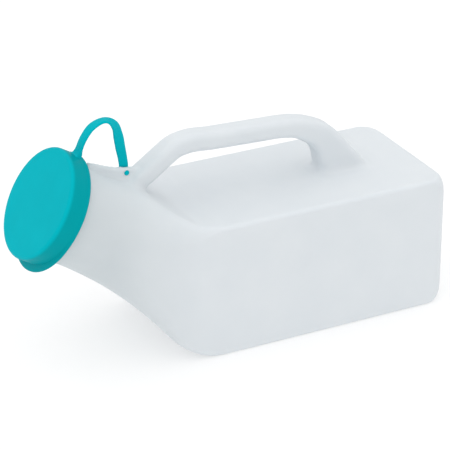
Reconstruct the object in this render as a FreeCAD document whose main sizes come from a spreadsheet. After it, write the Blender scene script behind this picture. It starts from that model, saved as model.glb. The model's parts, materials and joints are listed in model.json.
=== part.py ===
import FreeCAD, Part
import math
import os

import Sketcher

# A one litre urine bottle, in millimetres. The origin is the middle of the flat base, +X runs to the
# rear face, +Z is up, and y = 0 is the plane of symmetry. The spout slants up towards -X.

Vector = FreeCAD.Vector
UP_THE_LEAN = Vector(0, -1, 0)

SIZES = {
    # Box of the bottle.
    "body_half_width": 41.2,
    "body_top": 74.7,
    "body_rear": 74.6,
    "body_front": -60.0,
    "rear_corner": 11.5,
    "long_corner": 2.2,
    "wall": 1.3,
    # Mouth: the middle of the closed lid's face, and how far the spout's axis dips below level.
    "mouth_x": -148.705,
    "mouth_z": 90.568,
    "mouth_dip": 31.2,
    # Spout, measured along its axis from the lid's face.
    "lip_start": 3.2,
    "bead_end": 6.6,
    "bead_radius": 27.3,
    "bead_slope": 0.8,
    "spout_radius": 26.0,
    "bore_radius": 24.7,
    "bore_end": 21.0,
    "flare_start": 23.0,
    "spout_end": 35.0,
    "spout_end_radius": 26.6,
    # Lid.
    "lid_radius": 30.2,
    "lid_edge": 1.8,
    "lid_edge_waist": 0.5,
    "lid_depth": 11.3,
    "lid_thickness": 1.6,
    "lid_bore": 28.4,
    "inner_edge": 1.2,
    "rim_bead": 30.7,
    "rim_bead_start": 9.9,
    "rim_bead_slope": 0.4,
    "thumb_radius": 31.0,
    "thumb_shift": 3.3,
    "thumb_start": 9.1,
    # Strap, and the foot that joins it to the lid's skirt.
    "strap_width": 6.2,
    "tab_width": 5.0,
    "strap_thickness": 1.3,
    "foot_top": 31.8,
    "foot_middle": 8.2,
    "foot_spread": 2.9,
    "foot_sink": 29.2,
    # Web with the hole, the peg in it and the tab that holds the peg.
    "web_thickness": 3.0,
    "peg_x": -99.1,
    "peg_z": 97.4,
    "peg_radius": 1.05,
    "peg_hole": 1.12,
    "peg_head": 1.4,
    "peg_head_depth": 0.8,
    "peg_head_slope": 0.3,
    "side_gap": 0.1,
    "tab_top": 101.0,
}

# Sections of the shoulder, from the box to the spout: centre x and z, lean from upright in degrees,
# half height, half width, corner radius.
SHOULDER = [
    (-60.0, 37.35, 0.0, 37.35, 41.2, 2.2),
    (-62.2, 37.4, 1.1, 37.34, 41.2, 2.3),
    (-66.2, 37.75, 3.4, 37.3, 41.15, 2.6),
    (-73.3, 39.65, 7.9, 36.0, 41.1, 3.7),
    (-80.6, 43.3, 11.5, 33.6, 41.0, 6.5),
    (-88.0, 50.0, 16.0, 30.3, 39.8, 10.5),
    (-97.0, 57.9, 22.4, 27.6, 37.3, 16.0),
    (-107.3, 65.6, 28.6, 26.4, 33.0, 22.0),
    (-113.0, 69.0, 30.3, 26.4, 29.7, 24.4),
    (-117.3, 71.55, 31.1, 26.55, 27.3, 25.9),
    (-118.755, 72.43, 31.2, 26.6, 26.6, 26.1),
]

# Sections of the handle, from its front root over the grip to its rear root, as for the shoulder.
# Each leans along its own height, so the grip's sections stand near upright.
HANDLE = [
    (-104.5, 83.4, -35.0, 5.1, 6.6, 3.4),
    (-97.0, 88.6, -35.0, 5.1, 6.6, 3.4),
    (-90.0, 93.5, -35.0, 5.1, 6.6, 3.4),
    (-83.0, 98.4, -35.0, 5.1, 6.5, 3.4),
    (-77.0, 102.6, -34.0, 5.1, 6.5, 3.4),
    (-71.5, 105.9, -19.0, 5.1, 6.5, 3.4),
    (-65.0, 107.3, 0.0, 5.2, 6.5, 3.4),
    (-50.0, 106.6, 2.4, 5.15, 6.5, 3.4),
    (-36.0, 106.0, 2.4, 5.15, 6.5, 3.4),
    (-22.0, 105.4, 2.4, 5.15, 6.5, 3.4),
    (-9.0, 104.8, 4.0, 5.2, 6.5, 3.4),
    (-0.3, 103.3, 12.0, 5.6, 6.5, 3.4),
    (6.8, 100.4, 27.0, 6.4, 6.5, 3.4),
    (13.7, 96.3, 42.0, 7.3, 6.6, 3.5),
    (18.9, 90.3, 56.0, 8.5, 6.8, 3.7),
    (22.8, 83.6, 71.0, 10.4, 7.2, 4.0),
    (26.4, 76.9, 84.0, 13.1, 7.8, 4.5),
    (28.9, 71.5, 88.0, 15.2, 8.2, 5.0),
]

# Middle line of the strap: x, y, z, direction of travel from upright in degrees (clockwise seen from
# the near side), twist and width. It leaves the lid, loops over and ends flat against the web.
STRAP = [
    (-125.2, 0.0, 113.54, 31.2, 0.0, 6.2),
    (-121.9, 0.0, 120.9, 25.0, 0.0, 6.2),
    (-117.0, 0.0, 126.4, 62.0, 0.0, 6.2),
    (-109.9, 0.0, 128.6, 95.0, 0.0, 6.2),
    (-104.8, 0.0, 124.9, 155.0, 42.0, 6.2),
    (-102.6, 0.3, 118.0, 168.0, 70.0, 6.1),
    (-101.2, 1.0, 111.0, 170.0, 82.0, 5.6),
    (-99.8, 1.9, 105.0, 172.0, 88.0, 5.1),
    (-99.1, 2.25, 101.0, 180.0, 90.0, 5.0),
]
STRAP_CROWN = 3

# Top edge of the web, from behind the lid to the handle, then down inside the bottle and back.
WEB_EDGE = [
    (-120.5, 106.9),
    (-115.7, 105.0),
    (-110.2, 102.7),
    (-104.6, 100.8),
    (-97.5, 99.4),
    (-92.0, 98.7),
    (-86.0, 94.0),
    (-93.5, 88.0),
    (-118.0, 98.0),
]

doc = FreeCAD.newDocument("urine_bottle")
sheet = doc.addObject("Spreadsheet::Sheet", "sizes")


def fill_sheet():
    """Writes every driving dimension to the sheet, one named cell to a row."""
    rows = dict(SIZES)
    for stem, sections in (("shoulder", SHOULDER), ("handle", HANDLE)):
        for number, section in enumerate(sections):
            for part, value in zip(("x", "z", "lean", "rise", "half", "corner"), section):
                rows["%s%d_%s" % (stem, number, part)] = value
    for row, (name, value) in enumerate(rows.items(), start=1):
        sheet.set("A%d" % row, name)
        sheet.set("B%d" % row, repr(value))
        sheet.setAlias("B%d" % row, name)


def bind(thing, prop, formula):
    """Binds a property to a formula, in which $ stands for the sheet."""
    thing.setExpression(prop, formula.replace("$", "sizes."))


def new_body(name):
    return doc.addObject("PartDesign::Body", name)


def new_sketch(body, name, plane):
    """A sketch on one of the body's own origin planes."""
    sketch = body.newObject("Sketcher::SketchObject", name)
    support = next(item for item in body.Origin.OriginFeatures if item.Role == plane)
    sketch.AttachmentSupport = (support, [""])
    sketch.MapMode = "FlatFace"
    return sketch


def hold(sketch, name, formula, kind, *where):
    """Adds a named dimension to a sketch and binds it to the sheet."""
    index = sketch.addConstraint(Sketcher.Constraint(kind, *where))
    sketch.renameConstraint(index, name)
    bind(sketch, "Constraints." + name, formula)


def slant(body):
    """Puts a body in the mouth's own frame: +Z out of the mouth, +X up the mouth's slope."""
    body.Placement = FreeCAD.Placement(Vector(), FreeCAD.Rotation(UP_THE_LEAN, 60))
    bind(body, "Placement.Base.x", "$mouth_x")
    bind(body, "Placement.Base.z", "$mouth_z")
    bind(body, "Placement.Rotation.Angle", "90 - $mouth_dip")


def section_sketch(body, name, stem, inset):
    """A rounded rectangle across the symmetry plane, made smaller all round by an inset."""
    sketch = new_sketch(body, name, "XY_Plane")
    sketch.AttachmentOffset = FreeCAD.Placement(Vector(), FreeCAD.Rotation(UP_THE_LEAN, 90))
    bind(sketch, "AttachmentOffset.Base.x", "$%s_x" % stem)
    bind(sketch, "AttachmentOffset.Base.z", "$%s_z" % stem)
    bind(sketch, "AttachmentOffset.Rotation.Angle", "90 - $%s_lean" % stem)
    rise, half, corner = (
        sheet.get("%s_%s" % (stem, part)) - (SIZES["wall"] if inset else 0)
        for part in ("rise", "half", "corner")
    )
    flat_x, flat_y = rise - corner, half - corner
    middles = [(flat_x, flat_y), (-flat_x, flat_y), (-flat_x, -flat_y), (flat_x, -flat_y)]
    ends = []
    for turn, (x, y) in enumerate(middles):
        start = turn * math.pi / 2
        circle = Part.Circle(Vector(x, y, 0), Vector(0, 0, 1), corner)
        sketch.addGeometry(Part.ArcOfCircle(circle, start, start + math.pi / 2))
        ends.append([
            Vector(x + corner * math.cos(angle), y + corner * math.sin(angle), 0)
            for angle in (start, start + math.pi / 2)
        ])
    for turn in range(4):
        sketch.addGeometry(Part.LineSegment(ends[turn][1], ends[(turn + 1) % 4][0]))
    for turn in range(4):
        line = 4 + turn
        sketch.addConstraint(Sketcher.Constraint("Tangent", turn, 2, line, 1))
        sketch.addConstraint(Sketcher.Constraint("Tangent", line, 2, (turn + 1) % 4, 1))
        sketch.addConstraint(Sketcher.Constraint("Vertical" if turn % 2 else "Horizontal", line))
        if turn:
            sketch.addConstraint(Sketcher.Constraint("Equal", 0, turn))
    less = " - $wall" if inset else ""
    hold(sketch, "corner", "$%s_corner%s" % (stem, less), "Radius", 0, corner)
    hold(sketch, "half_left", "$%s_half%s" % (stem, less), "DistanceY", -1, 1, 4, 1, half)
    hold(sketch, "half_right", "$%s_half%s" % (stem, less), "DistanceY", 6, 1, -1, 1, half)
    hold(sketch, "rise_top", "$%s_rise%s" % (stem, less), "DistanceX", -1, 1, 7, 1, rise)
    hold(sketch, "rise_bottom", "$%s_rise%s" % (stem, less), "DistanceX", 5, 1, -1, 1, rise)
    return sketch


def loft_sections(body, stem, count, inset):
    """An additive loft through the numbered sections of the shoulder or the handle."""
    sketches = [
        section_sketch(body, "%s_section%d" % (body.Name, number), "%s%d" % (stem, number), inset)
        for number in range(count)
    ]
    doc.recompute()
    loft = body.newObject("PartDesign::AdditiveLoft", body.Name + "_loft")
    loft.Profile = sketches[0]
    loft.Sections = sketches[1:]
    doc.recompute()
    return loft


def outline_sketch(body, name, plane, points):
    """A sketch of straight lines round a closed outline, which the caller then dimensions."""
    sketch = new_sketch(body, name, plane)
    for index, (x, y) in enumerate(points):
        next_x, next_y = points[(index + 1) % len(points)]
        sketch.addGeometry(Part.LineSegment(Vector(x, y, 0), Vector(next_x, next_y, 0)))
    for index in range(len(points)):
        following = (index + 1) % len(points)
        sketch.addConstraint(Sketcher.Constraint("Coincident", index, 2, following, 1))
    return sketch


def bottle_form(name, inset):
    """The box with its shoulder as one solid: the outside, or the cavity inside the wall."""
    body = new_body(name)
    less = " - $wall" if inset else ""
    wall = SIZES["wall"] if inset else 0
    front, rear = SIZES["body_front"], SIZES["body_rear"] - wall
    base, top = wall, SIZES["body_top"] - wall
    side = outline_sketch(
        body, name + "_side", "XZ_Plane", [(front, base), (rear, base), (rear, top), (front, top)]
    )
    for line in (0, 2):
        side.addConstraint(Sketcher.Constraint("Horizontal", line))
    for line in (1, 3):
        side.addConstraint(Sketcher.Constraint("Vertical", line))
    hold(side, "front", "-$body_front", "DistanceX", 0, 1, -1, 1, -front)
    hold(side, "rear", "$body_rear" + less, "DistanceX", -1, 1, 1, 1, rear)
    hold(side, "top", "$body_top" + less, "DistanceY", -1, 1, 2, 1, top)
    if inset:
        hold(side, "base", "$wall", "DistanceY", -1, 1, 0, 1, base)
    else:
        side.addConstraint(Sketcher.Constraint("PointOnObject", 0, 1, -1))
    box = body.newObject("PartDesign::Pad", name + "_box")
    box.Profile = side
    box.Midplane = True
    bind(box, "Length", "2 * ($body_half_width%s)" % less)
    doc.recompute()
    upright_edges = [
        "Edge%d" % number
        for number, edge in enumerate(box.Shape.Edges, start=1)
        if edge.BoundBox.XMin > rear - 0.01 and edge.BoundBox.ZLength > 0.01
    ]
    rounded = body.newObject("PartDesign::Fillet", name + "_rear_corners")
    rounded.Base = (box, upright_edges)
    bind(rounded, "Radius", "$rear_corner" + less)
    doc.recompute()
    level_edges = [
        "Edge%d" % number
        for number, edge in enumerate(rounded.Shape.Edges, start=1)
        if edge.BoundBox.ZLength < 0.01 and edge.BoundBox.XMax > front + 0.01
    ]
    softened = body.newObject("PartDesign::Fillet", name + "_long_corners")
    softened.Base = (rounded, level_edges)
    bind(softened, "Radius", "$long_corner" + less)
    doc.recompute()
    loft_sections(body, "shoulder", len(SHOULDER), inset)
    return body


def cut(name, base, *tools):
    """The base cut by each tool in turn, as Part's own cuts."""
    for number, tool in enumerate(tools, start=1):
        result = doc.addObject("Part::Cut", "%s_%d" % (name, number))
        result.Base = base
        result.Tool = tool
        base = result
    return base


def turned_profile(body, name, points, formulas):
    """A sketch in the body's XZ plane whose corners are each bound to a radius and a height."""
    sketch = outline_sketch(body, name, "XZ_Plane", points)
    for index, (radius, height) in enumerate(formulas):
        x, y = points[index]
        if radius == "0":
            sketch.addConstraint(Sketcher.Constraint("PointOnObject", index, 1, -2))
        else:
            hold(sketch, "r_%d" % index, radius, "DistanceX", -1, 1, index, 1, x)
        if height == "0":
            sketch.addConstraint(Sketcher.Constraint("PointOnObject", index, 1, -1))
        else:
            hold(sketch, "drop_%d" % index, height, "DistanceY", index, 1, -1, 1, -y)
    return sketch


def revolve(body, name, sketch, axis_role="Z_Axis", kind="PartDesign::Revolution"):
    turned = body.newObject(kind, name)
    turned.Profile = sketch
    axis = next(item for item in body.Origin.OriginFeatures if item.Role == axis_role)
    turned.ReferenceAxis = (axis, [""])
    turned.Angle = 360
    return turned


def value_of(formula):
    """The number that a sum of the sheet's names gives now. Each may be halved."""
    total = 0.0
    for term in formula.replace("- ", "+ -").split("+"):
        word, *halved = term.split("/")
        word = word.strip()
        sign = -1 if word.startswith("-") else 1
        word = word.lstrip("-")
        size = SIZES[word[1:]] if word.startswith("$") else float(word)
        total += sign * size / (2 if halved else 1)
    return total


def profile_from(body, name, formulas):
    points = [(value_of(radius), -value_of(height)) for radius, height in formulas]
    return turned_profile(body, name, points, formulas)


def spout():
    """The round spout: a straight bore, a bead behind the lip, and a flare into the shoulder."""
    body = new_body("spout_form")
    slant(body)
    profile = profile_from(body, "spout_profile", [
        ("$bore_radius", "$lip_start"),
        ("$spout_radius", "$lip_start"),
        ("$bead_radius", "$lip_start + $bead_slope"),
        ("$bead_radius", "$bead_end - $bead_slope"),
        ("$spout_radius", "$bead_end"),
        ("$spout_radius", "$flare_start"),
        ("$spout_end_radius", "$spout_end"),
        ("$spout_end_radius - $wall", "$spout_end"),
        ("$bore_radius", "$bore_end"),
    ])
    revolve(body, "spout_turned", profile)
    doc.recompute()
    return body


def spout_core():
    """The whole space up to the spout's outside, which the web stops at. It reaches into the shoulder."""
    body = new_body("spout_core")
    slant(body)
    profile = profile_from(body, "core_profile", [
        ("0", "$lip_start"),
        ("$spout_radius", "$lip_start"),
        ("$spout_radius", "$flare_start"),
        ("$spout_end_radius", "$spout_end"),
        ("$spout_end_radius", "$spout_end + $wall"),
        ("0", "$spout_end + $wall"),
    ])
    revolve(body, "core_turned", profile)
    doc.recompute()
    return body


def lid():
    """The push-on lid: face, rounded edge, skirt, rim bead, off-centre thumb lip and strap foot."""
    body = new_body("lid_form")
    slant(body)
    lip = new_sketch(body, "thumb_circle", "XY_Plane")
    middle = Vector(-SIZES["thumb_shift"], 0, 0)
    lip.addGeometry(Part.Circle(middle, Vector(0, 0, 1), SIZES["thumb_radius"]))
    lip.addConstraint(Sketcher.Constraint("PointOnObject", 0, 3, -1))
    hold(lip, "radius", "$thumb_radius", "Radius", 0, SIZES["thumb_radius"])
    hold(lip, "shift", "$thumb_shift", "DistanceX", 0, 3, -1, 1, SIZES["thumb_shift"])
    bind(lip, "AttachmentOffset.Base.z", "-$lid_depth")
    thumb = body.newObject("PartDesign::Pad", "thumb_lip")
    thumb.Profile = lip
    bind(thumb, "Length", "$lid_depth - $thumb_start")

    foot_rise = [
        ("$foot_sink", "$foot_middle - $foot_spread"),
        ("$lid_radius", "$foot_middle - $foot_spread"),
        ("$foot_top", "$foot_middle - $strap_thickness / 2"),
        ("$foot_top", "$foot_middle + $strap_thickness / 2"),
        ("$lid_radius", "$foot_middle + $foot_spread"),
        ("$foot_sink", "$foot_middle + $foot_spread"),
    ]
    foot_profile = profile_from(body, "foot_profile", foot_rise)
    foot = body.newObject("PartDesign::Pad", "strap_foot")
    foot.Profile = foot_profile
    foot.Midplane = True
    bind(foot, "Length", "$strap_width")

    shell = profile_from(body, "shell_profile", [
        ("0", "0"),
        ("$lid_radius - $lid_edge", "0"),
        ("$lid_radius - $lid_edge_waist", "$lid_edge_waist"),
        ("$lid_radius", "$lid_edge"),
        ("$lid_radius", "$rim_bead_start"),
        ("$rim_bead", "$rim_bead_start + $rim_bead_slope"),
        ("$rim_bead", "$lid_depth"),
        ("0", "$lid_depth"),
    ])
    revolve(body, "lid_shell", shell)
    hollow = profile_from(body, "hollow_profile", [
        ("0", "$lid_thickness"),
        ("$lid_bore - $inner_edge", "$lid_thickness"),
        ("$lid_bore", "$lid_thickness + $inner_edge"),
        ("$lid_bore", "$lid_depth + 1"),
        ("0", "$lid_depth + 1"),
    ])
    revolve(body, "lid_hollow", hollow, kind="PartDesign::Groove")
    doc.recompute()
    return body


def web(obstacles):
    """The flat web between spout and handle, with the hole for the peg."""
    body = new_body("web_form")
    sketch = outline_sketch(body, "web_outline", "XZ_Plane", WEB_EDGE)
    for index in range(len(WEB_EDGE)):
        sketch.addConstraint(Sketcher.Constraint("Block", index))
    middle = Vector(SIZES["peg_x"], SIZES["peg_z"], 0)
    hole = sketch.addGeometry(Part.Circle(middle, Vector(0, 0, 1), SIZES["peg_hole"]))
    hold(sketch, "hole", "$peg_hole", "Radius", hole, SIZES["peg_hole"])
    hold(sketch, "hole_x", "-$peg_x", "DistanceX", hole, 3, -1, 1, -SIZES["peg_x"])
    hold(sketch, "hole_z", "$peg_z", "DistanceY", -1, 1, hole, 3, SIZES["peg_z"])
    plate = body.newObject("PartDesign::Pad", "web_plate")
    plate.Profile = sketch
    plate.Midplane = True
    bind(plate, "Length", "$web_thickness")
    doc.recompute()
    return cut("web_trimmed", body, *obstacles)


def tab():
    """The strap's end tab: a round end about the peg, with straight sides up to the band."""
    body = new_body("tab_form")
    x, z, top = SIZES["peg_x"], SIZES["peg_z"], SIZES["tab_top"]
    half = SIZES["tab_width"] / 2
    sketch = new_sketch(body, "tab_outline", "XZ_Plane")
    circle = Part.Circle(Vector(x, z, 0), Vector(0, 0, 1), half)
    sketch.addGeometry(Part.ArcOfCircle(circle, math.pi, 2 * math.pi))
    corners = [
        Vector(x + half, z, 0),
        Vector(x + half, top, 0),
        Vector(x - half, top, 0),
        Vector(x - half, z, 0),
    ]
    for start, end in zip(corners, corners[1:]):
        sketch.addGeometry(Part.LineSegment(start, end))
    sketch.addConstraint(Sketcher.Constraint("Tangent", 0, 2, 1, 1))
    sketch.addConstraint(Sketcher.Constraint("Coincident", 1, 2, 2, 1))
    sketch.addConstraint(Sketcher.Constraint("Coincident", 2, 2, 3, 1))
    sketch.addConstraint(Sketcher.Constraint("Tangent", 3, 2, 0, 1))
    sketch.addConstraint(Sketcher.Constraint("Vertical", 1))
    sketch.addConstraint(Sketcher.Constraint("Horizontal", 2))
    hold(sketch, "round_end", "$tab_width / 2", "Radius", 0, half)
    hold(sketch, "peg_x", "-$peg_x", "DistanceX", 0, 3, -1, 1, -x)
    hold(sketch, "peg_z", "$peg_z", "DistanceY", -1, 1, 0, 3, z)
    hold(sketch, "top", "$tab_top", "DistanceY", -1, 1, 1, 2, top)
    bind(sketch, "AttachmentOffset.Base.z", "-($web_thickness / 2 + $side_gap)")
    plate = body.newObject("PartDesign::Pad", "tab_plate")
    plate.Profile = sketch
    plate.Reversed = True
    bind(plate, "Length", "$strap_thickness")
    doc.recompute()
    return body


def peg():
    """The peg: a shank through the web and a wider snap head on the near side."""
    body = new_body("peg_form")
    body.Placement = FreeCAD.Placement(Vector(), FreeCAD.Rotation(Vector(1, 0, 0), 90))
    bind(body, "Placement.Base.x", "$peg_x")
    bind(body, "Placement.Base.y", "$web_thickness / 2 + $side_gap")
    bind(body, "Placement.Base.z", "$peg_z")
    shank, head = SIZES["peg_radius"], SIZES["peg_head"]
    inner = SIZES["web_thickness"] + 2 * SIZES["side_gap"]
    length = inner + SIZES["peg_head_depth"]
    edge = length - SIZES["peg_head_slope"]
    points = [(0, 0), (shank, 0), (shank, inner), (head, inner), (head, edge), (shank, length), (0, length)]
    sketch = outline_sketch(body, "peg_profile", "XZ_Plane", points)
    sketch.addConstraint(Sketcher.Constraint("Coincident", 0, 1, -1, 1))
    sketch.addConstraint(Sketcher.Constraint("PointOnObject", 6, 1, -2))
    for line in (0, 2, 5):
        sketch.addConstraint(Sketcher.Constraint("Horizontal", line))
    for line in (1, 3):
        sketch.addConstraint(Sketcher.Constraint("Vertical", line))
    hold(sketch, "shank", "$peg_radius", "DistanceX", -1, 1, 1, 1, shank)
    through = "$web_thickness + 2 * $side_gap"
    hold(sketch, "inner", through, "DistanceY", -1, 1, 2, 1, inner)
    hold(sketch, "head", "$peg_head", "DistanceX", -1, 1, 3, 1, head)
    hold(sketch, "edge", through + " + $peg_head_depth - $peg_head_slope", "DistanceY", -1, 1, 4, 1, edge)
    hold(sketch, "tip", "$peg_radius", "DistanceX", -1, 1, 5, 1, shank)
    hold(sketch, "length", through + " + $peg_head_depth", "DistanceY", -1, 1, 5, 2, length)
    revolve(body, "peg_turned", sketch)
    doc.recompute()
    return body


def band(name, stations):
    """A stretch of flat strap: a loft through rectangles that travel and twist along its line."""
    wires = []
    for x, y, z, heading, twist, width in stations:
        turn, roll = math.radians(heading), math.radians(twist)
        along = Vector(math.sin(turn), 0, math.cos(turn))
        outward = Vector(-math.cos(turn), 0, math.sin(turn))
        across = Vector(0, 1, 0) * math.cos(roll) + outward * math.sin(roll)
        through = along.cross(across)
        half_depth = SIZES["strap_thickness"] / 2
        corners = [
            Vector(x, y, z) + across * (width / 2 * a) + through * (half_depth * b)
            for a, b in ((-1, -1), (1, -1), (1, 1), (-1, 1))
        ]
        wires.append(Part.makePolygon(corners + corners[:1]))
    feature = doc.addObject("Part::Feature", name)
    feature.Shape = Part.makeLoft(wires, True, False)
    feature.Placement = FreeCAD.Placement()
    return feature


def check_document(parts):
    """Stops if any object failed or any sub-part isn't one valid solid."""
    for thing in doc.Objects:
        if "Invalid" in thing.State or "Error" in thing.State:
            raise RuntimeError("%s failed: %s" % (thing.Name, thing.State))
    for name, thing in parts.items():
        shape = thing.Shape
        if shape.isNull() or not shape.isValid() or len(shape.Solids) != 1:
            raise RuntimeError("%s: null %s, solids %d" % (name, shape.isNull(), len(shape.Solids)))
        box = shape.BoundBox
        print("%-16s %9.1f mm3  x %.1f..%.1f  y %.1f..%.1f  z %.1f..%.1f" % (
            name, shape.Volume, box.XMin, box.XMax, box.YMin, box.YMax, box.ZMin, box.ZMax))


fill_sheet()
doc.recompute()

outside = bottle_form("bottle_outside", inset=False)
cavity = bottle_form("bottle_cavity", inset=True)
handle_outside = new_body("handle_outside")
loft_sections(handle_outside, "handle", len(HANDLE), inset=False)
handle_bore = new_body("handle_bore")
loft_sections(handle_bore, "handle", len(HANDLE), inset=True)
core = spout_core()

parts = {
    "bottle_body": cut("body_opened", outside, cavity, handle_bore),
    "bottle_neck": spout(),
    "bottle_handle": cut("handle_trimmed", handle_outside, handle_bore, outside),
    "tether_lug": web([outside, core, handle_outside]),
    "lid_cap": lid(),
    "strap_front_leg": band("front_band", STRAP[:STRAP_CROWN + 1]),
    "strap_back_leg": band("back_band", STRAP[STRAP_CROWN:]),
    "strap_tab": tab(),
    "strap_peg": peg(),
}
for label, part in parts.items():
    part.Label = label
doc.recompute()
check_document(parts)

os.makedirs("parts", exist_ok=True)
for label, part in parts.items():
    part.Shape.exportStep("parts/%s.step" % label)
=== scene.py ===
import json
import math

import bmesh
import bpy
import numpy as np
from mathutils import Matrix, Vector
from mathutils.bvhtree import BVHTree


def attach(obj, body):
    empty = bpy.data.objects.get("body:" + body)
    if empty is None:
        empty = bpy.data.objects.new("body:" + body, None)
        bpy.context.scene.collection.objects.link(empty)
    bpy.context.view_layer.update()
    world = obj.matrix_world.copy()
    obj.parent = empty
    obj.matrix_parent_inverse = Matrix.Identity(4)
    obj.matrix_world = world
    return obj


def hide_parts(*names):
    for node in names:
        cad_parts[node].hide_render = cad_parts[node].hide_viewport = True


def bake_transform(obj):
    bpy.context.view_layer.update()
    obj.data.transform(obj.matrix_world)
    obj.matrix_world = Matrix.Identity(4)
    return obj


# A urine bottle: one hollow blow-moulded skin in natural polyethylene, and a soft turquoise closure of
# lid, strap and peg. Lengths in the tables and named sizes are millimetres, angles are degrees, and the
# frame is in metres. A depth is measured along the mouth's axis, from the lid's face into the bottle.

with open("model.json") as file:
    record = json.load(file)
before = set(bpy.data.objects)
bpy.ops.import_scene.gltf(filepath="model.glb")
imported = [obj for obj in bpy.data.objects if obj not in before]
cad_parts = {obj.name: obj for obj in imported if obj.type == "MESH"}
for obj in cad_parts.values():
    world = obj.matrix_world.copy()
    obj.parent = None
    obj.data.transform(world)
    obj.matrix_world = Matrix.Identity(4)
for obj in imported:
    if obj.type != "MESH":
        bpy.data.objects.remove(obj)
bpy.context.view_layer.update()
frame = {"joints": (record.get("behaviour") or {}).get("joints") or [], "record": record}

MM = 0.001
SIDE = Vector((0, 1, 0))


# ---------------------------------------------------------------- places read from the frame

def mount(name):
    return next(item for item in frame["record"]["mounts"] if item["name"] == name)


def joint_at(name):
    """A joint's place in millimetres."""
    place = next(item for item in frame["joints"] if item["name"] == name)["pos_m"]
    return Vector(place) / MM


MOUTH = mount("mouth")
OUT = Vector(MOUTH["axis"]).normalized()
UP_FACE = Vector((OUT.z, 0, -OUT.x))
FACE_TO_MOUTH = 12.0
FACE = Vector(MOUTH["pos_m"]) / MM + OUT * FACE_TO_MOUTH
PEG = joint_at("strap_pivot")

# ---------------------------------------------------------------- sizes

WALL = 1.3
BODY_REAR = mount("rear_face")["pos_m"][0] / MM
BODY_FRONT, BODY_TOP, BODY_HALF = -60.0, 74.7, 41.2
LONG_CORNER, PLAN_CORNER, REAR_TOP_CORNER, REAR_FACE_CORNER = 2.0, 11.5, 7.0, 10.0
REAR_CORNER_POWER = 1.3
WEB_HALF = 1.5

SPOUT_LEAN = math.degrees(math.asin(OUT.z))
SPOUT_RADIUS, SPOUT_END_RADIUS = 26.0, 26.6
FLARE_START, SPOUT_END = 23.0, 35.0
SPOUT_FOOT = FACE - OUT * SPOUT_END
OUTER_END, OUTER_CUT = 11.0, 14.5
INNER_END, INNER_CUT = 15.0, 21.0
OUTER_VOXEL, INNER_VOXEL = 1.0, 2.0

BEAD_MIDDLE, BEAD_LENGTH, BEAD_RISE, BEAD_POWER = 5.35, 2.5, 1.3, 0.8
LIP_RADIUS, LIP_DEPTH, LIP_HALF, LIP_ROLL = 25.4, 3.75, 0.6, 0.55
BORE_RADIUS = 24.75

LID_RADIUS, LID_EDGE, LID_THICKNESS, LID_DEPTH = 30.2, 1.9, 1.6, 11.3
HUB_RADIUS = 0.5
RIM_START, RIM_GROWTH = 9.5, 0.9
THUMB_REACH, THUMB_POWER = 3.6, 1.8

STRAP_THICKNESS = 1.3
STRAP_SEAM = 22
ROOT_SINK, ROOT_THICKNESS, ROOT_FLARE, ROOT_SPREAD = 2.6, 2.5, 3.5, 0.8
ROOT_FADE = 6
TAB_REACH, TAB_END_WIDTH = 2.5, 0.9

PEG_HALF, SHANK_RADIUS = 1.6, 1.05
HEAD_RADIUS, HEAD_RISE = 1.42, 0.68

# How finely each form is drawn.
CORNER_STEPS, FLAT_STEPS = 24, 10
REAR_ROWS, BOX_ROWS, SHOULDER_ROWS, HANDLE_ROWS = 25, 44, 70, 150
LID_STEPS, STRAP_ROWS, PEG_STEPS = 220, 97, 32

# Sections: centre x and z, lean from upright, half height, half width, corner radius.
SHOULDER = [
    (-60.0, 37.35, 0.0, 37.35, 41.2, 2.0),
    (-62.2, 37.4, 1.1, 37.34, 41.2, 2.1),
    (-66.2, 37.75, 3.4, 37.3, 41.15, 2.4),
    (-73.3, 39.65, 7.9, 36.0, 41.1, 3.6),
    (-80.6, 43.3, 11.5, 33.6, 41.0, 6.5),
    (-88.0, 50.0, 16.0, 30.3, 39.8, 10.5),
    (-97.0, 57.9, 22.4, 27.6, 37.3, 16.0),
    (-107.3, 65.6, 28.6, 26.4, 33.0, 22.0),
    (-113.0, 69.0, 30.2, 26.4, 29.2, 24.6),
    (-116.8, 71.27, 31.0, 26.55, 27.15, 26.0),
    (SPOUT_FOOT.x, SPOUT_FOOT.z, SPOUT_LEAN, SPOUT_END_RADIUS, SPOUT_END_RADIUS, SPOUT_END_RADIUS),
]
HANDLE = [
    (-104.5, 83.4, -35.0, 5.1, 6.6, 3.4),
    (-97.0, 88.6, -35.0, 5.1, 6.6, 3.4),
    (-90.0, 93.5, -35.0, 5.1, 6.6, 3.4),
    (-83.0, 98.4, -35.0, 5.1, 6.5, 3.4),
    (-77.0, 102.6, -34.0, 5.1, 6.5, 3.4),
    (-71.5, 105.9, -19.0, 5.1, 6.5, 3.4),
    (-65.0, 107.3, 0.0, 5.2, 6.5, 3.4),
    (-50.0, 106.6, 2.4, 5.15, 6.5, 3.4),
    (-36.0, 106.0, 2.4, 5.15, 6.5, 3.4),
    (-22.0, 105.4, 2.4, 5.15, 6.5, 3.4),
    (-9.0, 104.8, 4.0, 5.2, 6.5, 3.4),
    (-0.3, 103.3, 12.0, 5.6, 6.5, 3.4),
    (6.8, 100.4, 27.0, 6.4, 6.5, 3.4),
    (13.7, 96.3, 42.0, 7.3, 6.6, 3.5),
    (18.9, 90.3, 56.0, 8.5, 6.8, 3.7),
    (22.8, 83.6, 71.0, 10.4, 7.2, 4.0),
    (26.4, 76.9, 84.0, 13.1, 7.8, 4.5),
    (28.9, 71.5, 88.0, 15.2, 8.2, 5.0),
]
# Outline of the web: x, z.
WEB_EDGE = [
    (-120.5, 106.9),
    (-115.7, 105.0),
    (-110.2, 102.7),
    (-104.6, 100.8),
    (-97.5, 99.4),
    (-92.0, 98.7),
    (-86.0, 94.0),
    (-93.5, 88.0),
    (-118.0, 98.0),
]
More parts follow.
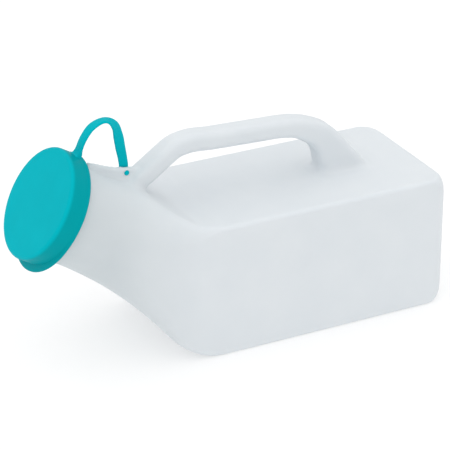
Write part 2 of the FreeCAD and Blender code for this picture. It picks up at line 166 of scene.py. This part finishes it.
# Middle line of the strap: x, y, z, heading from upright, twist, width.
STRAP = [
    (-125.2, 0.0, 113.54, 31.2, 0.0, 6.2),
    (-121.9, 0.0, 120.9, 25.0, 0.0, 6.2),
    (-117.0, 0.0, 126.4, 62.0, 0.0, 6.2),
    (-109.9, 0.0, 128.35, 95.0, 0.0, 6.2),
    (-104.8, 0.0, 124.9, 155.0, 42.0, 6.2),
    (-102.6, 0.3, 118.0, 168.0, 70.0, 6.1),
    (-101.2, 1.0, 111.0, 170.0, 82.0, 5.6),
    (-99.8, 1.9, 105.0, 172.0, 88.0, 5.1),
    (-99.1, 2.25, 101.0, 180.0, 90.0, 5.0),
]


def at_face(radius, angle, depth):
    """The point at a radius, an angle about the mouth's axis and a depth."""
    ring = UP_FACE * math.cos(angle) + SIDE * math.sin(angle)
    return FACE - OUT * depth + ring * radius


def face_angle(point):
    """A point's angle about the mouth's axis, from the lid's high side."""
    off = point - FACE
    return math.atan2(off.dot(SIDE), off.dot(UP_FACE))


# ---------------------------------------------------------------- mesh helpers

def new_object(name, vertices, faces):
    """An object from points in millimetres."""
    mesh = bpy.data.meshes.new(name)
    mesh.from_pydata([tuple(Vector(v) * MM) for v in vertices], [], faces)
    mesh.update()
    thing = bpy.data.objects.new(name, mesh)
    bpy.context.scene.collection.objects.link(thing)
    return thing


def outward(thing, inside_out=False):
    """Turns every face outward, or inward for the inner side of a wall."""
    work = bmesh.new()
    work.from_mesh(thing.data)
    bmesh.ops.recalc_face_normals(work, faces=work.faces)
    if inside_out:
        bmesh.ops.reverse_faces(work, faces=work.faces)
    work.to_mesh(thing.data)
    work.free()


def ring_faces(rows, count):
    """Quads between equal closed rings of points, numbered row by row."""
    faces = []
    for row in range(rows - 1):
        low, high = row * count, (row + 1) * count
        for column in range(count):
            beside = (column + 1) % count
            faces.append((low + column, low + beside, high + beside, high + column))
    return faces


def fan_faces(row, count, hub):
    """Triangles from a row of points to a hub in its middle."""
    start = row * count
    return [(start + column, start + (column + 1) % count, hub) for column in range(count)]


def capped_tube(name, rings):
    """A closed solid over equal rings, with a fan at each end."""
    count = len(rings[0])
    vertices = [point for ring in rings for point in ring]
    faces = ring_faces(len(rings), count)
    for row in (0, len(rings) - 1):
        vertices.append(sum((Vector(p) for p in rings[row]), Vector()) / count)
        faces += fan_faces(row, count, len(vertices) - 1)
    thing = new_object(name, vertices, faces)
    outward(thing)
    return thing


def smooth_shade(thing, sharp_above):
    """Smooth shading, but for edges sharper than the given angle."""
    thing.data.polygons.foreach_set("use_smooth", [True] * len(thing.data.polygons))
    thing.data.set_sharp_from_angle(angle=math.radians(sharp_above))


def through(table, count, across=2):
    """Rows that pass smoothly through a table's rows, evenly spaced along its first few columns."""
    table = np.array(table, float)
    gaps = np.sqrt((np.diff(table[:, :across], axis=0) ** 2).sum(1))
    knots = np.concatenate([[0], np.cumsum(gaps)])
    secant = np.diff(table, axis=0) / gaps[:, None]
    slopes = np.zeros_like(table)
    weight = (gaps[:-1] + gaps[1:])[:, None]
    slopes[1:-1] = (secant[:-1] * gaps[1:, None] + secant[1:] * gaps[:-1, None]) / weight
    slopes[0] = 1.5 * secant[0] - 0.5 * slopes[1]
    slopes[-1] = 1.5 * secant[-1] - 0.5 * slopes[-2]
    at = np.linspace(0, knots[-1], count)
    span = np.clip(np.searchsorted(knots, at, side="right") - 1, 0, len(gaps) - 1)
    share = ((at - knots[span]) / gaps[span])[:, None]
    length = gaps[span][:, None]
    return (
        (1 + 2 * share) * (1 - share) ** 2 * table[span]
        + share * (1 - share) ** 2 * length * slopes[span]
        + share ** 2 * (3 - 2 * share) * table[span + 1]
        + share ** 2 * (share - 1) * length * slopes[span + 1]
    )


# ---------------------------------------------------------------- bottle

def rounded_ring(rise, half, corner):
    """Points round a rounded rectangle, as pairs of height and width, corner by corner."""
    corner = max(0.05, min(corner, rise, half))
    arcs = []
    for turn, (x, y) in enumerate(((1, 1), (-1, 1), (-1, -1), (1, -1))):
        middle_x, middle_y = x * (rise - corner), y * (half - corner)
        angles = [math.pi / 2 * (turn + step / CORNER_STEPS) for step in range(CORNER_STEPS + 1)]
        arcs.append([(middle_x + corner * math.cos(a), middle_y + corner * math.sin(a)) for a in angles])
    ring = []
    for turn, arc in enumerate(arcs):
        ring += arc
        (x, y), (next_x, next_y) = arc[-1], arcs[(turn + 1) % 4][0]
        for step in range(1, FLAT_STEPS):
            share = step / FLAT_STEPS
            ring.append((x + (next_x - x) * share, y + (next_y - y) * share))
    return ring


def section(row, inset):
    """A rounded ring across the symmetry plane, smaller all round by the inset."""
    x, z, lean, rise, half, corner = row
    tilt = math.radians(lean)
    up = Vector((math.sin(tilt), 0, math.cos(tilt)))
    middle = Vector((x, 0, z))
    ring = rounded_ring(rise - inset, half - inset, corner - inset)
    return [middle + up * height + SIDE * width for height, width in ring]


def spout_radius(depth):
    """The spout's outer radius, which widens a little towards the shoulder."""
    share = min(1.0, max(0.0, (depth - FLARE_START) / (SPOUT_END - FLARE_START)))
    return SPOUT_RADIUS + (SPOUT_END_RADIUS - SPOUT_RADIUS) * share * share


def arc_drop(radius, distance):
    """How far a quarter round of that radius falls away at a distance from its flat end."""
    ahead = min(1.0, max(0.0, 1 - distance / radius))
    return radius * (1 - math.sqrt(1 - ahead * ahead))


def box_row(x, inset):
    """The box's section at a place along it, drawn in where its rear corners round off."""
    distance = BODY_REAR - inset - x
    top = BODY_TOP - arc_drop(REAR_TOP_CORNER - inset, distance)
    base = arc_drop(LONG_CORNER - inset, distance)
    half = BODY_HALF - arc_drop(PLAN_CORNER - inset, distance)
    share = max(0.0, 1 - distance / PLAN_CORNER)
    corner = LONG_CORNER + (REAR_FACE_CORNER - LONG_CORNER) * share ** REAR_CORNER_POWER
    return (x, (top + base) / 2, 0, (top - base) / 2, half, corner)


def body_rings(inset, stop_depth):
    """Rings from the rear face, through the box and the shoulder, and up the spout."""
    rings = []
    for share in np.linspace(0, 1, REAR_ROWS):
        x = BODY_REAR - PLAN_CORNER * (1 - math.cos(math.pi / 2 * share)) - inset
        rings.append(section(box_row(x, inset), inset))
    for x in np.linspace(BODY_REAR - PLAN_CORNER - inset, BODY_FRONT, BOX_ROWS)[1:-1]:
        rings.append(section(box_row(x, inset), inset))
    for row in through(SHOULDER, SHOULDER_ROWS):
        rings.append(section(row, inset))
    angles = [face_angle(point) for point in rings[-1]]
    for depth in np.arange(SPOUT_END - 1, stop_depth - 0.5, -1.0):
        radius = spout_radius(depth) - inset
        rings.append([at_face(radius, angle, depth) for angle in angles])
    return rings


def handle_rings(inset):
    """Rings along the handle, from its front root over the grip to its rear root."""
    return [section(row, inset) for row in through(HANDLE, HANDLE_ROWS)]


def web_plate():
    """The flat web as a closed plate."""
    outline = [Vector((x, 0, z)) for x, z in WEB_EDGE]
    count = len(outline)
    vertices = [p - SIDE * WEB_HALF for p in outline] + [p + SIDE * WEB_HALF for p in outline]
    faces = ring_faces(2, count) + [tuple(range(count)), tuple(range(2 * count - 1, count - 1, -1))]
    plate = new_object("web_plate", vertices, faces)
    outward(plate)
    return plate


def apply_modifiers(thing):
    depsgraph = bpy.context.evaluated_depsgraph_get()
    mesh = bpy.data.meshes.new_from_object(thing.evaluated_get(depsgraph))
    thing.modifiers.clear()
    thing.data = mesh


def vertex_array(thing):
    flat = np.empty(len(thing.data.vertices) * 3)
    thing.data.vertices.foreach_get("co", flat)
    return flat.reshape(-1, 3)


def set_vertices(thing, points):
    thing.data.vertices.foreach_set("co", points.ravel())
    thing.data.update()


def edge_array(thing):
    flat = np.empty(len(thing.data.edges) * 2, np.int32)
    thing.data.edges.foreach_get("vertices", flat)
    return flat.reshape(-1, 2)


def relax(points, edges, weight, rounds, pull):
    """Moves each point towards the middle of its neighbours, by its own weight, again and again."""
    a, b = edges[:, 0], edges[:, 1]
    count = len(points)
    links = np.bincount(a, minlength=count) + np.bincount(b, minlength=count)
    links = np.maximum(links, 1)[:, None]
    for _ in range(rounds):
        total = np.empty_like(points)
        for axis in range(3):
            column = points[:, axis]
            total[:, axis] = (
                np.bincount(a, column[b], minlength=count) + np.bincount(b, column[a], minlength=count)
            )
        points = points + (total / links - points) * (weight * pull)[:, None]
    return points


def fair(points, edges, rounds):
    """Takes out fine ripple without shrinking the form."""
    every = np.ones(len(points))
    for _ in range(rounds):
        points = relax(points, edges, every, 1, 0.5)
        points = relax(points, edges, every, 1, -0.52)
    return points


def remeshed_union(name, forms, voxel):
    """A voxel skin over several closed forms."""
    work = bmesh.new()
    for form in forms:
        work.from_mesh(form.data)
    mesh = bpy.data.meshes.new(name)
    work.to_mesh(mesh)
    work.free()
    skin = bpy.data.objects.new(name, mesh)
    bpy.context.scene.collection.objects.link(skin)
    modifier = skin.modifiers.new("skin", "REMESH")
    modifier.mode = "VOXEL"
    modifier.voxel_size = voxel * MM
    modifier.adaptivity = 0
    apply_modifiers(skin)
    return skin


def nearest_on(forms, points):
    """For each form, each point's nearest place on it and how far that is, in metres."""
    nearest = np.empty((len(forms), len(points), 3))
    apart = np.empty((len(forms), len(points)))
    for number, form in enumerate(forms):
        tree = BVHTree.FromPolygons(
            [v.co for v in form.data.vertices], [tuple(p.vertices) for p in form.data.polygons]
        )
        for index, point in enumerate(points):
            place, _, _, distance = tree.find_nearest(point)
            nearest[number, index] = place
            apart[number, index] = distance
    return nearest, apart


def merged_skin(name, forms, fillets, voxel):
    """One skin over several closed forms, with the inner corners between them filled.

    A fillet is a pair of forms, its reach and how many rounds of relaxing fill it."""
    skin = remeshed_union(name, forms, voxel)
    points = vertex_array(skin)
    edges = edge_array(skin)
    nearest, apart = nearest_on(forms, points)
    points = nearest[apart.argmin(0), np.arange(len(points))]
    for (one, other), reach, rounds in fillets:
        near = np.maximum(apart[one], apart[other]) / (reach * MM)
        weight = np.clip(1.3 - 1.3 * near, 0, 1)
        points = relax(points, edges, weight, rounds, 0.5)
    set_vertices(skin, fair(points, edges, 3))
    for form in forms:
        bpy.data.objects.remove(form)
    return skin


def cut_at_spout(skin, depth):
    """Opens a skin at a depth along the spout."""
    work = bmesh.new()
    work.from_mesh(skin.data)
    plane = (FACE - OUT * depth) * MM
    bmesh.ops.bisect_plane(
        work, geom=work.verts[:] + work.edges[:] + work.faces[:], dist=0.1 * MM,
        plane_co=plane, plane_no=OUT, clear_outer=True,
    )
    work.to_mesh(skin.data)
    work.free()


def rim_points(work):
    """The open rim's points and their angles about the mouth's axis, in order of the angle."""
    angle_of = {vertex: face_angle(vertex.co / MM) for vertex in work.verts if vertex.is_boundary}
    ring = sorted(angle_of, key=angle_of.get)
    return ring, [angle_of[vertex] for vertex in ring]


def lip_profile():
    """Radius and depth of the rim, from the outer cut over the bead and the rolled lip and down the bore."""
    profile = [(SPOUT_RADIUS, OUTER_CUT - step) for step in range(1, 8)]
    half_turn = [math.pi * step / 8 for step in range(9)]
    for angle in half_turn:
        rise = BEAD_RISE * math.sin(angle) ** BEAD_POWER
        profile.append((SPOUT_RADIUS + rise, BEAD_MIDDLE + BEAD_LENGTH / 2 * math.cos(angle)))
    for angle in half_turn:
        profile.append((LIP_RADIUS + LIP_HALF * math.cos(angle), LIP_DEPTH - LIP_ROLL * math.sin(angle)))
    profile += [(BORE_RADIUS, depth) for depth in (5.5, 8.0, 11.0, 14.0, 17.5)]
    return profile


def outer_skin():
    """The box, shoulder and spout with the handle and the web, open at the mouth."""
    forms = [
        capped_tube("body_form", body_rings(0, OUTER_END)),
        capped_tube("handle_form", handle_rings(0)),
        web_plate(),
    ]
    fillets = [((0, 1), 6.0, 40), ((0, 2), 2.0, 8), ((1, 2), 2.0, 8)]
    skin = merged_skin("bottle_outer", forms, fillets, OUTER_VOXEL)
    cut_at_spout(skin, OUTER_CUT)
    outward(skin)
    return skin


def inner_skin():
    """The inside of the wall, through the body and the hollow handle, open at the mouth."""
    forms = [
        capped_tube("cavity_form", body_rings(WALL, INNER_END)),
        capped_tube("bore_form", handle_rings(WALL)),
    ]
    skin = merged_skin("bottle_inner", forms, [((0, 1), 6.0, 12)], INNER_VOXEL)
    cut_at_spout(skin, INNER_CUT)
    outward(skin, inside_out=True)
    return skin


def bottle():
    """The whole blow moulding: outer skin, inner skin and the lip that joins them at the mouth."""
    outer = outer_skin()
    inner = inner_skin()
    work = bmesh.new()
    work.from_mesh(outer.data)
    ring, angles = rim_points(work)
    for radius, depth in lip_profile():
        following = [work.verts.new(at_face(radius, angle, depth) * MM) for angle in angles]
        for index in range(len(ring)):
            beside = (index + 1) % len(ring)
            work.faces.new((ring[index], ring[beside], following[beside], following[index]))
        ring = following
    work.from_mesh(inner.data)
    open_edges = [edge for edge in work.edges if edge.is_boundary]
    bmesh.ops.bridge_loops(work, edges=open_edges)
    bmesh.ops.recalc_face_normals(work, faces=work.faces)
    mesh = bpy.data.meshes.new("bottle_moulding")
    work.to_mesh(mesh)
    work.free()
    for thing in (outer, inner):
        bpy.data.objects.remove(thing)
    moulding = bpy.data.objects.new("bottle_moulding", mesh)
    bpy.context.scene.collection.objects.link(moulding)
    smooth_shade(moulding, 60)
    return moulding


# ---------------------------------------------------------------- lid

def lid():
    """The push-on lid as one closed turning: face, skirt, rim bead with a thumb lip, and the plug inside."""
    profile = [(radius, 0.0) for radius in (HUB_RADIUS, 6, 12, 18, 23, 26.5, 27.7)]
    for step in range(9):
        angle = math.pi / 2 * step / 8
        radius = LID_RADIUS - LID_EDGE * (1 - math.sin(angle))
        profile.append((radius, LID_EDGE * (1 - math.cos(angle))))
    profile += [(LID_RADIUS, depth) for depth in (3.5, 6.0, 8.5, RIM_START)]
    rim = [(0.15, 9.8), (0.4, 10.05), (0.5, 10.4), (0.5, 10.85), (0.35, 11.15), (0.05, LID_DEPTH)]
    rim_rows = range(len(profile), len(profile) + len(rim))
    profile += [(LID_RADIUS + rise, depth) for rise, depth in rim]
    skirt_inside = [(29.2, LID_DEPTH), (28.6, 11.15), (28.4, 10.8), (28.4, 8.0), (28.4, 4.5)]
    skirt_inside += [(28.2, 3.0), (27.6, 2.2), (26.8, 1.75), (25.2, LID_THICKNESS)]
    plug = [(24.7, 1.65), (24.4, 3.4), (24.2, 5.0), (23.9, 5.2), (23.6, 5.0), (23.3, 3.2), (23.1, 1.7)]
    face_inside = [(radius, LID_THICKNESS) for radius in (22.9, 18, 12, 6, HUB_RADIUS)]
    profile += skirt_inside + plug + face_inside
    vertices = []
    for index, (radius, depth) in enumerate(profile):
        for column in range(LID_STEPS):
            angle = 2 * math.pi * column / LID_STEPS
            reach = radius
            if index in rim_rows:
                down = max(0.0, -math.cos(angle))
                reach += THUMB_REACH * down ** THUMB_POWER * min(1.0, (depth - RIM_START) / RIM_GROWTH)
            vertices.append(at_face(reach, angle, depth))
    faces = ring_faces(len(profile), LID_STEPS)
    for row, depth in ((0, 0.0), (len(profile) - 1, LID_THICKNESS)):
        vertices.append(at_face(0, 0, depth))
        faces += fan_faces(row, LID_STEPS, len(vertices) - 1)
    cap = new_object("lid", vertices, faces)
    outward(cap)
    smooth_shade(cap, 50)
    return cap


# ---------------------------------------------------------------- strap and peg

def band_ring(x, y, z, heading, twist, width, thickness=STRAP_THICKNESS):
    """A ring of the strap: a flat rounded section across its line."""
    turn, roll = math.radians(heading), math.radians(twist)
    along = Vector((math.sin(turn), 0, math.cos(turn)))
    outside = Vector((-math.cos(turn), 0, math.sin(turn)))
    across = SIDE * math.cos(roll) + outside * math.sin(roll)
    normal = along.cross(across)
    middle = Vector((x, y, z))
    corner = min(0.45, thickness * 0.35)
    ring = []
    for quadrant, (sx, sy) in enumerate(((1, 1), (-1, 1), (-1, -1), (1, -1))):
        for step in range(5):
            angle = math.pi / 2 * (quadrant + step / 4)
            a = sx * (width / 2 - corner) + corner * math.cos(angle)
            b = sy * (thickness / 2 - corner) + corner * math.sin(angle)
            ring.append(middle + across * a + normal * b)
    return ring


def strap_rows():
    """Rows along the whole strap. The row numbered STRAP_SEAM ends the front piece."""
    return through(STRAP, STRAP_ROWS, across=3)


def strap_front():
    """The strap from its flared root on the lid to half way up the front leg."""
    rows = strap_rows()
    root = Vector(rows[0][:3])
    heading, _, width = rows[0][3:]
    rings = []
    for depth in np.linspace(ROOT_SINK, 0.2, 7):
        place = root - UP_FACE * depth
        flare = (depth / ROOT_SINK) ** 2
        broad, thick = width + ROOT_SPREAD * flare, ROOT_THICKNESS + ROOT_FLARE * flare
        rings.append(band_ring(place.x, 0, place.z, heading, 0, broad, thick))
    for count, row in enumerate(rows[:STRAP_SEAM + 1]):
        extra = max(0.0, 1 - count / ROOT_FADE) ** 2
        rings.append(band_ring(*row, STRAP_THICKNESS + (ROOT_THICKNESS - STRAP_THICKNESS) * extra))
    piece = capped_tube("strap_front", rings)
    smooth_shade(piece, 50)
    return piece


def strap_back():
    """The strap from half way up the front leg, over the loop and down to the tab's round end."""
    rows = strap_rows()
    rings = [band_ring(*row) for row in rows[STRAP_SEAM:]]
    side = rows[-1][1]
    for step in range(1, 15):
        angle = math.pi / 2 * step / 14
        width = max(TAB_END_WIDTH, 2 * TAB_REACH * math.cos(angle))
        rings.append(band_ring(PEG.x, side, PEG.z - TAB_REACH * math.sin(angle), 180, 90, width))
    piece = capped_tube("strap_back", rings)
    smooth_shade(piece, 50)
    return piece


def peg():
    """The peg's shank and its domed snap head on the near side of the web."""
    near = -PEG_HALF
    dome = near - 0.12
    profile = [(SHANK_RADIUS, PEG_HALF), (SHANK_RADIUS, near + 0.05), (1.3, near), (HEAD_RADIUS, dome)]
    for step in range(1, 9):
        angle = math.pi / 2 * step / 8
        profile.append((HEAD_RADIUS * math.cos(angle) + 0.01, dome - HEAD_RISE * math.sin(angle)))
    turns = [2 * math.pi * step / PEG_STEPS for step in range(PEG_STEPS)]
    rings = []
    for radius, y in profile:
        rings.append([
            Vector((PEG.x + radius * math.cos(turn), y, PEG.z + radius * math.sin(turn)))
            for turn in turns
        ])
    piece = capped_tube("peg", rings)
    smooth_shade(piece, 50)
    return piece


# ---------------------------------------------------------------- materials

def new_material(name):
    material = bpy.data.materials.new(name)
    material.use_nodes = True
    return material, material.node_tree, material.node_tree.nodes["Principled BSDF"]


def add(tree, kind, **values):
    """A node with its inputs set by name."""
    node = tree.nodes.new(kind)
    for name, value in values.items():
        node.inputs[name.replace("_", " ")].default_value = value
    return node


def noise(tree, scale, detail, roughness):
    """A noise in the piece's own space, as its factor output."""
    place = tree.nodes.new("ShaderNodeTexCoord")
    node = add(tree, "ShaderNodeTexNoise", Scale=scale, Detail=detail, Roughness=roughness)
    tree.links.new(place.outputs["Object"], node.inputs["Vector"])
    return node.outputs["Fac"]


def ranged(tree, source, low, high, new_low, new_high):
    """A value mapped from one range to another and held inside it."""
    node = tree.nodes.new("ShaderNodeMapRange")
    for name, value in zip(("From Min", "From Max", "To Min", "To Max"), (low, high, new_low, new_high)):
        node.inputs[name].default_value = value
    tree.links.new(source, node.inputs["Value"])
    return node.outputs["Result"]


def cloudy_colour(tree, cloud, first, second):
    """A colour that drifts between two shades with a noise."""
    node = tree.nodes.new("ShaderNodeMix")
    node.data_type = "RGBA"
    node.inputs["A"].default_value = (*first, 1)
    node.inputs["B"].default_value = (*second, 1)
    tree.links.new(ranged(tree, cloud, 0.3, 0.7, 0, 1), node.inputs["Factor"])
    return node.outputs["Result"]


def tinted(tree, colour, tint, share):
    """A colour multiplied by a tint, by a share from 0 to 1."""
    node = tree.nodes.new("ShaderNodeMix")
    node.data_type = "RGBA"
    node.blend_type = "MULTIPLY"
    node.inputs["B"].default_value = (*tint, 1)
    tree.links.new(share, node.inputs["Factor"])
    tree.links.new(colour, node.inputs["A"])
    return node.outputs["Result"]


def rough_patches(tree, shader, blotch, smoothest, roughest):
    """Gloss that changes a little from place to place."""
    tree.links.new(ranged(tree, blotch, 0.3, 0.7, smoothest, roughest), shader.inputs["Roughness"])


def bump(tree, height, strength, depth, under=None):
    """A fine relief of a depth in millimetres, laid over another one."""
    node = add(tree, "ShaderNodeBump", Strength=strength, Distance=depth * MM)
    tree.links.new(height, node.inputs["Height"])
    if under is not None:
        tree.links.new(under, node.inputs["Normal"])
    return node.outputs["Normal"]


def bottle_plastic():
    """Natural polyethylene: milky, cool white, softly glossy, with cloudy thickness and fine grain.

    The spout end of the bottle carries painted shade: it is a little darker, most of all low down near the
    lid."""
    material, tree, shader = new_material("natural_polyethylene")
    colour = cloudy_colour(tree, noise(tree, 45, 4, 0.55), (0.687, 0.727, 0.758), (0.708, 0.745, 0.773))
    place = tree.nodes.new("ShaderNodeTexCoord")
    parts = tree.nodes.new("ShaderNodeSeparateXYZ")
    tree.links.new(place.outputs["Object"], parts.inputs["Vector"])
    # Painted shade: a mask that grows towards the spout end and downwards, and darkens the colour there.
    along = ranged(tree, parts.outputs["X"], -0.075, -0.12, 0, 1)
    below = ranged(tree, parts.outputs["Z"], 0.130, 0.085, 0, 1)
    spout_shade_mask = tree.nodes.new("ShaderNodeMath")
    spout_shade_mask.operation = "MULTIPLY"
    tree.links.new(along, spout_shade_mask.inputs[0])
    tree.links.new(below, spout_shade_mask.inputs[1])
    shaded_spout_colour = tinted(tree, colour, (0.86, 0.875, 0.872), spout_shade_mask.outputs["Value"])
    tree.links.new(shaded_spout_colour, shader.inputs["Base Color"])
    shader.inputs["Subsurface Weight"].default_value = 0.3
    shader.inputs["Subsurface Radius"].default_value = (1.0, 1.0, 1.0)
    shader.inputs["Subsurface Scale"].default_value = 3 * MM
    shader.inputs["Specular IOR Level"].default_value = 0.10
    rough_patches(tree, shader, noise(tree, 160, 5, 0.6), 0.50, 0.60)
    grain = bump(tree, noise(tree, 1400, 4, 0.6), 0.08, 0.1)
    wave = bump(tree, noise(tree, 90, 2, 0.5), 0.10, 0.4, under=grain)
    tree.links.new(wave, shader.inputs["Normal"])
    return material


def closure_plastic(name, skirt_shade_shares):
    """Soft turquoise polyethylene: satin, a little uneven in colour, with a fine orange-peel grain.

    Behind the lid's face the green and blue are multiplied by the two given shares, which paints shade on
    the skirt and the rim."""
    material, tree, shader = new_material(name)
    colour = cloudy_colour(tree, noise(tree, 60, 4, 0.55), (0.0, 0.415, 0.482), (0.0, 0.438, 0.507))
    place = tree.nodes.new("ShaderNodeTexCoord")
    depth = tree.nodes.new("ShaderNodeVectorMath")
    depth.operation = "DOT_PRODUCT"
    depth.inputs[1].default_value = OUT
    tree.links.new(place.outputs["Object"], depth.inputs[0])
    face = (FACE * MM).dot(OUT)
    # Painted shade: a mask that grows from just behind the lid's face, so the skirt and rim come out darker.
    behind = ranged(tree, depth.outputs["Value"], face - 0.5 * MM, face - 2 * MM, 0, 1)
    tree.links.new(tinted(tree, colour, (1, *skirt_shade_shares), behind), shader.inputs["Base Color"])
    shader.inputs["Specular IOR Level"].default_value = 0.025
    rough_patches(tree, shader, noise(tree, 260, 4, 0.6), 0.36, 0.46)
    grain = bump(tree, noise(tree, 1800, 3, 0.6), 0.12, 0.1)
    tree.links.new(grain, shader.inputs["Normal"])
    return material


# ---------------------------------------------------------------- camera, light and floor

def aimed(name, data, place, ahead):
    """Links an object that looks along a direction, level from side to side."""
    thing = bpy.data.objects.new(name, data)
    bpy.context.scene.collection.objects.link(thing)
    ahead = Vector(ahead).normalized()
    right = ahead.cross(Vector((0, 0, 1)) if abs(ahead.z) < 0.99 else Vector((0, 1, 0))).normalized()
    up = right.cross(ahead)
    turn = Matrix((right, up, -ahead)).transposed().to_4x4()
    thing.matrix_world = Matrix.Translation(place) @ turn
    return thing


def camera():
    """From the lid's side, from in front and above, a long lens more than a metre away."""
    data = bpy.data.cameras.new("camera")
    data.sensor_width = 36
    data.lens = 184.5
    place = (-0.54304, -0.98381, 0.59824)
    ahead = (0.4074, 0.7991, -0.4422)
    bpy.context.scene.camera = aimed("camera", data, place, ahead)


def soft_sun(name, toward, spread, brightness):
    """A broad soft light from a direction. A surface that faces it gains that share of full white."""
    data = bpy.data.lights.new(name, "SUN")
    data.angle = math.radians(spread)
    data.energy = brightness * math.pi
    aimed(name, data, Vector(toward), -Vector(toward))


def lights():
    """An even white surround, with two broad soft lights, from the lid's end and from overhead."""
    world = bpy.data.worlds.new("world")
    bpy.context.scene.world = world
    world.use_nodes = True
    background = world.node_tree.nodes["Background"]
    background.inputs["Color"].default_value = (1, 1, 1, 1)
    background.inputs["Strength"].default_value = 0.56
    soft_sun("key", (-0.8, -0.3, 0.57), 120, 0.18)
    soft_sun("overhead", (0.1, -0.1, 0.99), 145, 0.47)
    bpy.context.scene.view_settings.view_transform = "Standard"


def floor():
    """A white floor that glows a little, so that shadows on it stay faint."""
    half = 3000
    corners = [(-half, -half, 0), (half, -half, 0), (half, half, 0), (-half, half, 0)]
    plane = new_object("floor", corners, [(0, 1, 2, 3)])
    material, tree, shader = new_material("floor_white")
    shader.inputs["Base Color"].default_value = (0.62, 0.62, 0.62, 1)
    shader.inputs["Emission Color"].default_value = (1, 1, 1, 1)
    shader.inputs["Emission Strength"].default_value = 0.38
    shader.inputs["Roughness"].default_value = 0.7
    shader.inputs["Specular IOR Level"].default_value = 0.1
    plane.data.materials.append(material)


# ---------------------------------------------------------------- putting it together

camera()
lights()
floor()

plastic = bottle_plastic()
# The lid's skirt and rim get painted shade: green times 0.76 and blue times 0.73.
lid_closure = closure_plastic("turquoise_polyethylene_lid_painted_shade", (0.76, 0.73))
# The strap takes no painted shade: both shares are 1.
strap_closure = closure_plastic("turquoise_polyethylene_strap", (1.0, 1.0))

moulding = bottle()
moulding.data.materials.append(plastic)
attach(moulding, "bottle")
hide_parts("bottle_body", "bottle_neck", "bottle_handle", "tether_lug")

cap = lid()
cap.data.materials.append(lid_closure)
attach(cap, "lid")
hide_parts("lid_cap")

front = strap_front()
front.data.materials.append(strap_closure)
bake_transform(front)
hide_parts("strap_front_leg")

back = strap_back()
back.data.materials.append(strap_closure)
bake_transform(back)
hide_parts("strap_back_leg", "strap_tab")

pin = peg()
pin.data.materials.append(strap_closure)
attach(pin, "strap_end")
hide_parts("strap_peg")
